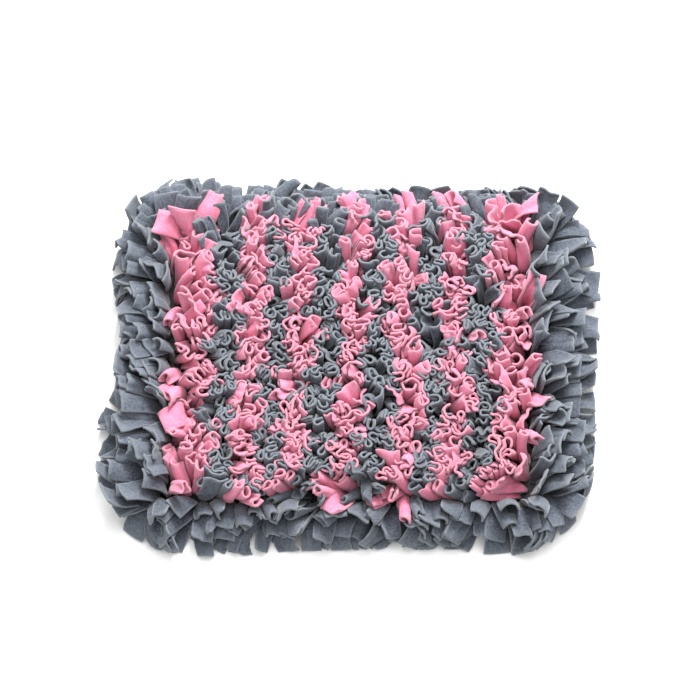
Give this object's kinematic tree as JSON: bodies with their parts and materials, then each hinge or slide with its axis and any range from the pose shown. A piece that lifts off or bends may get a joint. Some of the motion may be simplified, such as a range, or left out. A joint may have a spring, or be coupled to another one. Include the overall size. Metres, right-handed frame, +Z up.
{
  "type": "snuffle mat",
  "caption": "Foraging mat for a dog: soft pink and grey fleece strips stand in rows on a flat base, with a splayed grey border.",
  "frame": {"origin": "middle of the flat underside of the base mat, on the surface that the mat lies on", "axes": "+X along the longest side to the right, +Y to the back, +Z up through the pile"},
  "size_m": [0.5006, 0.404, 0.0494],
  "materials": {
    "pink_fleece": "brushed polyester fleece, matt, cut edges",
    "grey_fleece": "brushed polyester fleece, matt, cut edges",
    "base_rubber": "matt flexible mat, plain"
  },
  "bodies": {
    "root": {"base_mat": "base_rubber", "row_grey_1": "grey_fleece", "row_pink_1": "pink_fleece", "row_grey_2": "grey_fleece", "row_pink_2": "pink_fleece", "row_grey_3": "grey_fleece", "row_pink_3": "pink_fleece", "row_grey_4": "grey_fleece", "row_pink_4": "pink_fleece", "row_grey_5": "grey_fleece", "row_pink_5": "pink_fleece", "row_grey_6": "grey_fleece", "row_pink_6": "pink_fleece", "row_grey_7": "grey_fleece", "row_pink_7": "pink_fleece", "row_grey_8": "grey_fleece", "fringe_left_upper": "grey_fleece", "fringe_right_upper": "grey_fleece", "fringe_front_upper": "grey_fleece", "fringe_back_upper": "grey_fleece", "fringe_front_left_upper": "grey_fleece", "fringe_front_right_upper": "grey_fleece", "fringe_back_left_upper": "grey_fleece", "fringe_back_right_upper": "grey_fleece", "fringe_left_lower": "grey_fleece", "fringe_right_lower": "grey_fleece", "fringe_front_lower": "grey_fleece", "fringe_back_lower": "grey_fleece", "fringe_front_left_lower": "grey_fleece", "fringe_front_right_lower": "grey_fleece", "fringe_back_left_lower": "grey_fleece", "fringe_back_right_lower": "grey_fleece"}
  },
  "joints": []
}
